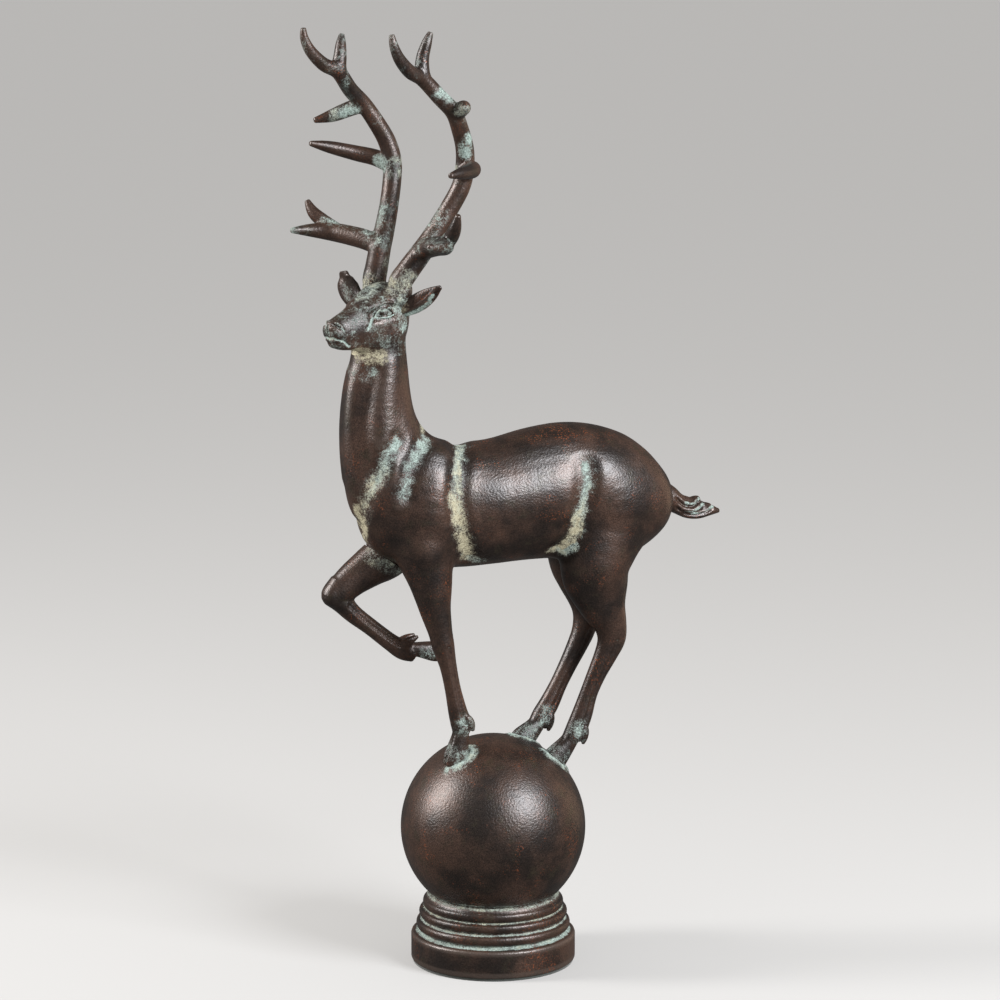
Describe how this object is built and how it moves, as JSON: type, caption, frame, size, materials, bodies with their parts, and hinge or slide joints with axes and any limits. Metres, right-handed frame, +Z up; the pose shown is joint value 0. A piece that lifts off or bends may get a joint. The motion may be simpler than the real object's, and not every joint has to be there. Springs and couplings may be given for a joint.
{
  "type": "stag statuette",
  "caption": "Dark patinated bronze stag with tall antlers and one foreleg raised, standing on a ball set on a stepped round plinth.",
  "frame": {"origin": "centre of the plinth's resting face, the underside of the felt", "axes": "+Z up; the stag faces -X, its left side is -Y"},
  "size_m": [0.2537, 0.1204, 0.557],
  "materials": {
    "patinated_bronze": "satin",
    "bare_bronze": "satin",
    "plated_steel": "satin",
    "felt": "matte"
  },
  "bodies": {
    "root": {"felt_pad": "felt", "plinth": "patinated_bronze", "ball": "patinated_bronze", "bridge_bar": "plated_steel", "tie_rod": "plated_steel", "tie_rod_nuts": "plated_steel", "tie_rod_washers": "plated_steel", "hoof_studs": "bare_bronze", "hoof_nuts": "plated_steel", "hoof_washers": "plated_steel", "torso": "patinated_bronze", "head": "patinated_bronze", "left_ear": "patinated_bronze", "right_ear": "patinated_bronze", "left_antler": "patinated_bronze", "right_antler": "patinated_bronze", "antler_pins": "bare_bronze", "left_foreleg": "patinated_bronze", "right_foreleg": "patinated_bronze", "left_hind_leg": "patinated_bronze", "right_hind_leg": "patinated_bronze", "leg_pins": "bare_bronze", "neck_pin": "bare_bronze", "tail": "patinated_bronze", "tail_pin": "bare_bronze"}
  },
  "joints": []
}
